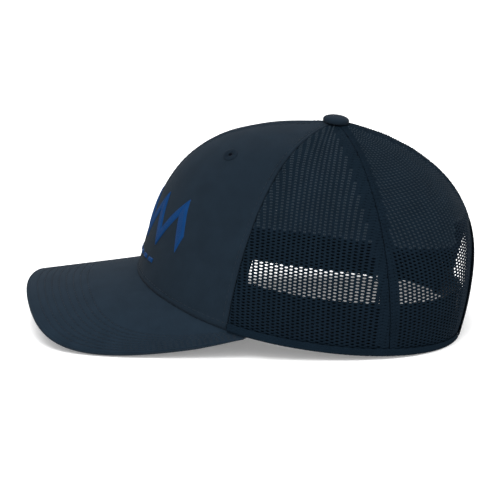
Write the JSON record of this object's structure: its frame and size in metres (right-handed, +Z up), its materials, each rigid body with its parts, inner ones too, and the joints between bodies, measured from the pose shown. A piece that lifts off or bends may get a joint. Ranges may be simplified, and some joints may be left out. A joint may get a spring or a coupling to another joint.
{
  "type": "trucker mesh cap",
  "caption": "Mesh-back cap with stiff fabric front, curved visor, covered top button, inner sweatband and a plastic snap strap across the rear opening.",
  "frame": {"origin": "on the floor, under the centre of the bounding box", "axes": "+Z up, -Y towards the visor, +X to the wearer's left"},
  "size_m": [0.17, 0.266, 0.1244],
  "materials": {
    "front_fabric": "matt brushed twill",
    "visor_fabric": "matt brushed twill",
    "mesh": "open knitted mesh, slight sheen",
    "buckram": "stiff open weave",
    "tape": "woven tape",
    "sweatband": "soft twill",
    "padding": "felt",
    "navy_thread": "satin thread",
    "emblem_thread": "satin thread",
    "visor_board": "moulded",
    "strap_plastic": "moulded, satin",
    "button_metal": "pressed"
  },
  "bodies": {
    "crown": {"buckram_left": "buckram", "buckram_right": "buckram", "eyelet_left": "navy_thread", "eyelet_right": "navy_thread", "front_centre_tape": "tape", "front_emblem": "emblem_thread", "front_left_tape": "tape", "front_panel_left": "front_fabric", "front_panel_right": "front_fabric", "front_right_tape": "tape", "hole_strap_tab": "strap_plastic", "mesh_hem_left": "mesh", "mesh_hem_right": "mesh", "peg_strap_tab": "strap_plastic", "rear_arch_binding": "tape", "rear_centre_tape": "tape", "rear_left_tape": "tape", "rear_mesh_left": "mesh", "rear_mesh_right": "mesh", "rear_right_tape": "tape", "side_mesh_left": "mesh", "side_mesh_right": "mesh", "sweatband": "sweatband", "sweatband_padding": "padding", "top_button_core": "button_metal", "top_button_cover": "front_fabric", "top_button_rivet": "button_metal", "top_button_washer": "button_metal", "visor_board": "visor_board", "visor_seam_tape": "tape", "visor_top_cover": "visor_fabric", "visor_under_cover": "visor_fabric"},
    "hole_strap": {"hole_strap": "strap_plastic"},
    "peg_strap": {"peg_strap": "strap_plastic"}
  },
  "joints": [
    {"name": "hole_strap_bend", "type": "hinge", "parent": "crown", "child": "hole_strap", "pos_m": [0.0364, 0.12141, 0.00212], "axis": [0, -0.2326, -0.9726], "range_deg": [0, 70], "stiffness_Nm_per_rad": 0.02},
    {"name": "peg_strap_bend", "type": "hinge", "parent": "crown", "child": "peg_strap", "pos_m": [-0.0364, 0.12003, 0.00249], "axis": [0, -0.2323, -0.9726], "range_deg": [0, 35], "stiffness_Nm_per_rad": 0.02}
  ]
}
